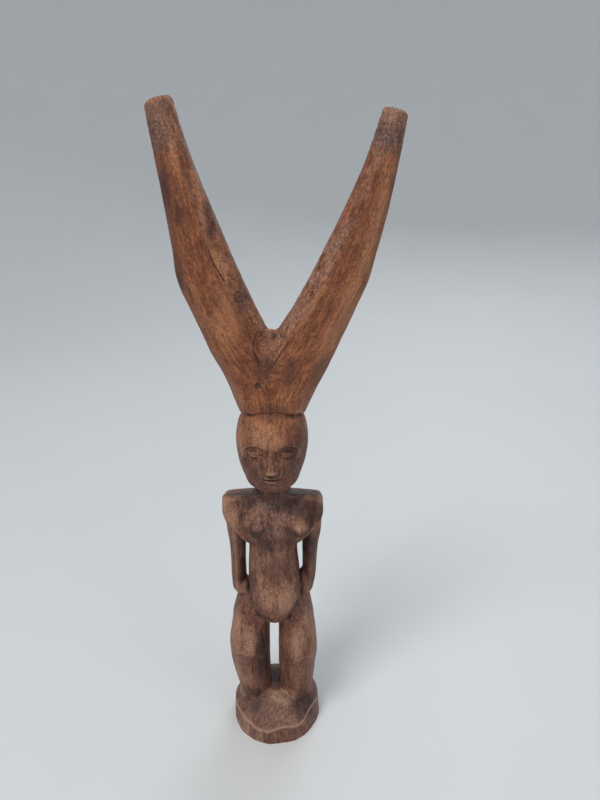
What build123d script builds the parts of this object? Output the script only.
from build123d import *
import os

# A hand-carved wooden slingshot from one forked branch. Its handle is a standing
# figure on a round foot, and the fork grows out of the top of the figure's head.
# Millimetres, +Z up, the figure faces -Y, origin in the middle of the foot's
# underside. "left" and "right" are the figure's own sides, so left is +X.
#
# The wood is one piece with no joints. It is divided here, at level cuts and at two
# upright ones, into the carver's own forms. Each form is a closed solid, and
# neighbours meet face to face.

# ---- heights of the cuts between the forms --------------------------------------
Z_ANKLE = 12.2  # foot's top, where the legs stand
Z_CROTCH = 41.0  # top of the slot between the legs
Z_HAND = 53.5  # lower end of the hands
Z_WAIST = 76.5  # underside of the chest
Z_NECK = 94.8  # foot of the neck, just above the shoulders
Z_CHIN = 98.0  # top of the neck
Z_CROWN = 122.7  # groove between the head and the fork
Z_FORK = 150.0  # where the two prongs part
X_ARM_RIGHT = -9.7  # upright cut between the trunk and the right arm
X_ARM_LEFT = 9.0  # the same for the left arm

# ---- foot ----------------------------------------------------------------------
FOOT_CENTRE_X = -0.3
FOOT_FACETS = 9
FOOT_FACET_RADIUS = 16.0  # to the middle of a facet, at the underside
FOOT_FACET_TAPER = -4.0  # degrees; the facets lean out towards the rim
FOOT_FACET_TURN = 11.0  # degrees the facets are turned about Z
RIM_HEIGHT = 6.0
# height, half width, half depth of the foot's rounded body
FOOT_LEVELS = [
    (0.0, 15.6, 15.6),
    (RIM_HEIGHT, 17.0, 16.9),
    (9.6, 16.2, 13.8),
    (Z_ANKLE, 14.4, 8.6),
]

# Every table below holds one row for each level: height, then the lowest and highest
# x, then the front and back y of the outline at that height.

# ---- legs, which run up inside the hips ----------------------------------------
RIGHT_LEG = [
    (8.0, -13.6, -2.1, -7.0, 6.0),
    (Z_ANKLE, -14.0, -2.1, -7.4, 6.0),
    (19.0, -15.5, -2.1, -8.6, 5.6),
    (27.0, -17.1, -2.1, -10.2, 5.6),
    (34.0, -17.2, -2.0, -9.2, 7.2),
    (41.0, -16.4, -1.8, -7.6, 9.2),
    (47.0, -14.9, -1.5, -6.4, 9.8),
    (57.0, -12.2, -1.5, -4.6, 7.0),
]
LEFT_LEG = [
    (8.0, 0.9, 13.2, -7.0, 6.0),
    (Z_ANKLE, 0.9, 13.6, -7.4, 6.0),
    (19.0, 0.9, 14.4, -8.6, 5.6),
    (27.0, 0.9, 15.3, -10.2, 5.6),
    (34.0, 0.8, 15.5, -9.2, 7.2),
    (41.0, 0.6, 14.6, -7.6, 9.2),
    (47.0, 0.3, 13.0, -6.4, 9.8),
    (57.0, 0.3, 11.0, -4.6, 7.0),
]
LEG_ROUNDING = 0.40  # corner radius as a share of the narrower side

# ---- trunk ---------------------------------------------------------------------
TRUNK = [
    (Z_CROTCH, -8.6, 7.6, -7.6, 6.4),
    (47.0, -9.4, 8.6, -9.6, 7.0),
    (53.5, -9.6, 9.0, -10.4, 6.6),
    (61.0, -9.2, 8.6, -9.0, 5.6),
    (69.0, -8.8, 7.8, -6.8, 5.4),
    (77.0, -9.0, 8.2, -6.2, 6.2),
    (86.0, -9.4, 8.8, -5.8, 6.4),
    (93.0, -7.2, 7.0, -4.6, 5.6),
]
# chest and shoulders: a shield with slanting lower sides and a square top
SHOULDERS = [
    (Z_WAIST, -8.8, 8.4, -5.8, 5.0),
    (80.0, -12.4, 11.9, -6.8, 5.6),
    (84.2, -16.2, 15.5, -6.9, 6.0),
    (87.0, -17.2, 16.5, -6.5, 6.1),
    (91.0, -17.5, 16.8, -5.6, 6.0),
    (93.4, -17.0, 16.3, -4.6, 5.2),
]
SHOULDER_ROUNDING = 0.32
BREAST_X = (-5.8, 9.4)
BREAST_HEIGHT = 83.4
BREAST_FRONT = -9.6  # y of the tip
BREAST_ROOT_RADIUS = 4.9
BREAST_TIP_RADIUS = 1.5
BREAST_LENGTH = 6.0
BUTTOCK_X = (-7.0, 6.4)
BUTTOCK_HEIGHT = 46.0
BUTTOCK_Y = 6.0
BUTTOCK_RADIUS = 6.4

# ---- arms ----------------------------------------------------------------------
RIGHT_ARM = [
    (Z_HAND, -15.0, -10.0, -2.2, 4.6),
    (58.0, -15.9, -10.3, -2.8, 5.2),
    (66.0, -15.9, -10.6, -2.6, 5.6),
    (74.0, -16.3, -10.8, -2.8, 5.6),
    (84.0, -16.9, -10.6, -3.2, 5.6),
]
LEFT_ARM = [
    (Z_HAND, 9.6, 13.6, -2.2, 4.6),
    (58.0, 9.9, 14.4, -2.8, 5.2),
    (66.0, 10.2, 15.0, -2.6, 5.6),
    (74.0, 10.3, 15.5, -2.8, 5.6),
    (84.0, 10.0, 16.2, -3.2, 5.6),
]
ARM_ROUNDING = 0.38
# the hand lies against the hip and closes the lower end of the gap beside the waist
HAND_DEPTH = (-2.0, 3.8)
RIGHT_HAND_TOP = 61.2
LEFT_HAND_TOP = 64.0

# ---- neck and head -------------------------------------------------------------
NECK_RADIUS = 6.1
NECK_CENTRE_Y = -0.6
NECK_ROOT = 8.0  # how far the neck runs down inside the chest
HEAD_CENTRE_X = -0.3
HEAD_HEIGHT = 26.0  # from the chin to the top of the skull, which is inside the fork
HEAD_HALF_WIDTH = 12.0
HEAD_OVAL = 1.5  # the head is a plain oval, half as tall again as it is wide
HEAD_TAPER = 0.1  # the oval is narrower towards the chin
CHIN_HEIGHT = Z_CHIN + 1.0
EYE_HEIGHT = CHIN_HEIGHT + HEAD_HEIGHT / 2  # eyes at the middle of the head
# height, front and back of the head
HEAD_DEPTHS = [
    (Z_CHIN, -9.4, 6.4),
    (101.5, -11.2, 8.9),
    (106.0, -12.0, 11.0),
    (111.0, -12.3, 12.0),
    (115.5, -12.0, 12.0),
    (119.5, -11.0, 11.2),
    (Z_CROWN, -9.8, 10.0),
]
NOSE_ROOT_HEIGHT = EYE_HEIGHT - 2.0
NOSE_TIP_HEIGHT = (EYE_HEIGHT + CHIN_HEIGHT) / 2  # halfway from the eyes to the chin
NOSE_HALF_WIDTH = 2.1
NOSE_PROUD = 1.6  # how far the tip stands out from the widest part of the face
NOSE_INSET = 3.0  # how far the nose is let into the face

# ---- fork ----------------------------------------------------------------------
# The two branches of the fork run down into the throat, where they merge. The last
# row of each is past its sawn end.
RIGHT_PRONG = [
    (Z_CROWN, -10.3, 5.0, -9.8, 9.8),
    (129.0, -12.5, 4.4, -9.9, 9.9),
    (137.0, -16.0, 2.6, -9.6, 9.6),
    (145.0, -20.2, 0.4, -8.8, 8.8),
    (Z_FORK, -22.3, -1.4, -8.3, 8.3),
    (158.0, -25.6, -5.4, -7.9, 7.9),
    (166.0, -28.8, -9.0, -7.6, 7.6),
    (175.0, -29.6, -12.8, -7.0, 7.0),
    (187.0, -31.1, -17.5, -6.2, 6.2),
    (200.0, -33.1, -22.2, -5.3, 5.3),
    (210.0, -34.5, -25.4, -4.8, 4.8),
    (220.0, -35.9, -28.4, -4.5, 4.5),
]
LEFT_PRONG = [
    (Z_CROWN, -5.0, 10.3, -9.8, 9.8),
    (129.0, -4.4, 12.8, -9.9, 9.9),
    (137.0, -2.6, 17.0, -9.6, 9.6),
    (145.0, 0.0, 20.9, -8.8, 8.8),
    (Z_FORK, 1.8, 23.1, -8.3, 8.3),
    (158.0, 7.0, 26.7, -7.9, 7.9),
    (166.0, 11.4, 30.0, -7.6, 7.6),
    (175.0, 16.2, 32.3, -7.0, 7.0),
    (187.0, 22.3, 35.3, -6.2, 6.2),
    (200.0, 27.9, 37.8, -5.3, 5.3),
    (210.0, 31.4, 39.2, -4.8, 4.8),
    (220.0, 34.6, 40.4, -4.5, 4.5),
]
# sawn ends: a point on each end's plane, and how far the plane leans outwards
RIGHT_END = (-31.0, 216.0)
LEFT_END = (36.2, 213.1)
END_LEAN = 14.0  # degrees

os.makedirs("parts", exist_ok=True)


def round_levels(levels):
    """Lofts through level ellipses into the part being built."""
    sections = []
    for height, x_low, x_high, y_front, y_back in levels:
        with BuildSketch(Plane.XY.offset(height)) as section:
            with Locations(((x_low + x_high) / 2, (y_front + y_back) / 2)):
                Ellipse((x_high - x_low) / 2, (y_back - y_front) / 2)
        sections.append(section.sketch)
    loft(sections)


def head_levels():
    """Levels of the head: a plain oval cut off by the neck and by the fork."""
    levels = []
    for height, y_front, y_back in HEAD_DEPTHS:
        along = (height - EYE_HEIGHT) / (HEAD_OVAL * HEAD_HALF_WIDTH)
        half = HEAD_HALF_WIDTH * (1 - along**2) ** 0.5 * (1 + HEAD_TAPER * along)
        levels.append((height, HEAD_CENTRE_X - half, HEAD_CENTRE_X + half, y_front, y_back))
    return levels


def square_levels(levels, rounding):
    """Lofts through level rounded rectangles into the part being built."""
    sections = []
    for height, x_low, x_high, y_front, y_back in levels:
        width, depth = x_high - x_low, y_back - y_front
        with BuildSketch(Plane.XY.offset(height)) as section:
            with Locations(((x_low + x_high) / 2, (y_front + y_back) / 2)):
                RectangleRounded(width, depth, rounding * min(width, depth))
        sections.append(section.sketch)
    loft(sections)


def keep_between(low, high):
    """Cuts the part being built to what lies between two heights."""
    if low is not None:
        split(bisect_by=Plane.XY.offset(low), keep=Keep.TOP)
    if high is not None:
        split(bisect_by=Plane.XY.offset(high), keep=Keep.BOTTOM)


def keep_trunk():
    """Cuts the part being built to what lies between the two arm cuts."""
    split(bisect_by=Plane.YZ.offset(X_ARM_RIGHT), keep=Keep.TOP)
    split(bisect_by=Plane.YZ.offset(X_ARM_LEFT), keep=Keep.BOTTOM)


def write(piece, name):
    """Labels a finished form and writes its STEP file."""
    piece.part.label = name
    export_step(piece.part, f"parts/{name}.step")
    print(name, "solids", len(piece.part.solids()), "volume", round(piece.part.volume))


# ---- foot: a low domed drum with knife facets round its side --------------------
with BuildPart() as base:
    for height, half_width, half_depth in FOOT_LEVELS:
        with BuildSketch(Plane.XY.offset(height)):
            with Locations((FOOT_CENTRE_X, 0)):
                Ellipse(half_width, half_depth)
    loft(ruled=True)
    with BuildSketch(Plane.XY):
        with Locations((FOOT_CENTRE_X, 0)):
            RegularPolygon(
                FOOT_FACET_RADIUS,
                FOOT_FACETS,
                major_radius=False,
                rotation=FOOT_FACET_TURN,
            )
    extrude(amount=Z_ANKLE, taper=FOOT_FACET_TAPER, mode=Mode.INTERSECT)
write(base, "base")

# ---- legs ----------------------------------------------------------------------
with BuildPart() as right_leg:
    square_levels(RIGHT_LEG, LEG_ROUNDING)
    keep_between(Z_ANKLE, Z_CROTCH)
write(right_leg, "right_leg")

with BuildPart() as left_leg:
    square_levels(LEFT_LEG, LEG_ROUNDING)
    keep_between(Z_ANKLE, Z_CROTCH)
write(left_leg, "left_leg")

# ---- hips: tops of the thighs, lower belly and buttocks -------------------------
with BuildPart() as hips:
    square_levels(RIGHT_LEG, LEG_ROUNDING)
    square_levels(LEFT_LEG, LEG_ROUNDING)
    round_levels(TRUNK)
    with Locations(*[(x, BUTTOCK_Y, BUTTOCK_HEIGHT) for x in BUTTOCK_X]):
        Sphere(BUTTOCK_RADIUS)
    keep_between(Z_CROTCH, Z_HAND)
write(hips, "hips")

# ---- waist: the trunk between the arms ------------------------------------------
with BuildPart() as waist:
    round_levels(TRUNK)
    keep_between(Z_HAND, Z_WAIST)
    keep_trunk()
write(waist, "waist")

# ---- chest: trunk, breasts and the inner part of the shoulders -------------------
with BuildPart() as chest:
    round_levels(TRUNK)
    square_levels(SHOULDERS, SHOULDER_ROUNDING)
    with Locations((0, NECK_CENTRE_Y, Z_NECK)):
        Cylinder(NECK_RADIUS, 2 * NECK_ROOT)
    breast_planes = [
        Plane(origin=(x, BREAST_FRONT + BREAST_LENGTH, BREAST_HEIGHT), z_dir=(0, -1, 0))
        for x in BREAST_X
    ]
    with Locations(*breast_planes):
        Cone(
            BREAST_ROOT_RADIUS,
            BREAST_TIP_RADIUS,
            BREAST_LENGTH,
            align=(Align.CENTER, Align.CENTER, Align.MIN),
        )
    keep_between(Z_WAIST, Z_NECK)
    keep_trunk()
write(chest, "chest")

# ---- arms: outer part of the shoulder, arm and hand ------------------------------
ARMS = [
    ("right_arm", RIGHT_ARM, RIGHT_HAND_TOP, X_ARM_RIGHT, -1),
    ("left_arm", LEFT_ARM, LEFT_HAND_TOP, X_ARM_LEFT, 1),
]
for arm_name, arm_levels, hand_top, x_cut, side in ARMS:
    with BuildPart() as arm:
        square_levels(arm_levels, ARM_ROUNDING)
        square_levels(SHOULDERS, SHOULDER_ROUNDING)
        x_wrist = (arm_levels[1][1] + arm_levels[1][2]) / 2
        with Locations(
            ((x_cut + x_wrist) / 2, sum(HAND_DEPTH) / 2, (Z_HAND + hand_top) / 2)
        ):
            Box(abs(x_wrist - x_cut), HAND_DEPTH[1] - HAND_DEPTH[0], hand_top - Z_HAND)
        keep_between(Z_HAND, Z_NECK)
        split(
            bisect_by=Plane.YZ.offset(x_cut),
            keep=Keep.TOP if side > 0 else Keep.BOTTOM,
        )
    write(arm, arm_name)

# ---- neck ----------------------------------------------------------------------
with BuildPart() as neck:
    with BuildSketch(Plane.XY.offset(Z_NECK)):
        with Locations((0, NECK_CENTRE_Y)):
            Circle(NECK_RADIUS)
    extrude(amount=Z_CHIN - Z_NECK)
write(neck, "neck")

# ---- head: an egg cut off by the fork, with a wedge of a nose ---------------------
with BuildPart() as head:
    round_levels(head_levels())
    face_y = min(y_front for height, y_front, y_back in HEAD_DEPTHS)
    with BuildSketch(Plane.YZ.offset(-NOSE_HALF_WIDTH)):
        with BuildLine():
            Polyline(
                (face_y + NOSE_INSET, NOSE_ROOT_HEIGHT),
                (face_y, NOSE_ROOT_HEIGHT),
                (face_y - NOSE_PROUD, NOSE_TIP_HEIGHT),
                (face_y + NOSE_INSET, NOSE_TIP_HEIGHT),
                close=True,
            )
        make_face()
    extrude(amount=2 * NOSE_HALF_WIDTH)
write(head, "head")

# ---- fork ----------------------------------------------------------------------
with BuildPart() as fork_throat:
    round_levels(RIGHT_PRONG)
    round_levels(LEFT_PRONG)
    keep_between(Z_CROWN, Z_FORK)
write(fork_throat, "fork_throat")

PRONGS = [
    ("right_prong", RIGHT_PRONG, RIGHT_END, -END_LEAN),
    ("left_prong", LEFT_PRONG, LEFT_END, END_LEAN),
]
for prong_name, prong_levels, (x_end, z_end), lean in PRONGS:
    with BuildPart() as prong:
        round_levels(prong_levels)
        keep_between(Z_FORK, None)
        end_plane = Plane(origin=(x_end, 0, z_end)).rotated((0, lean, 0))
        split(bisect_by=end_plane, keep=Keep.BOTTOM)
    write(prong, prong_name)
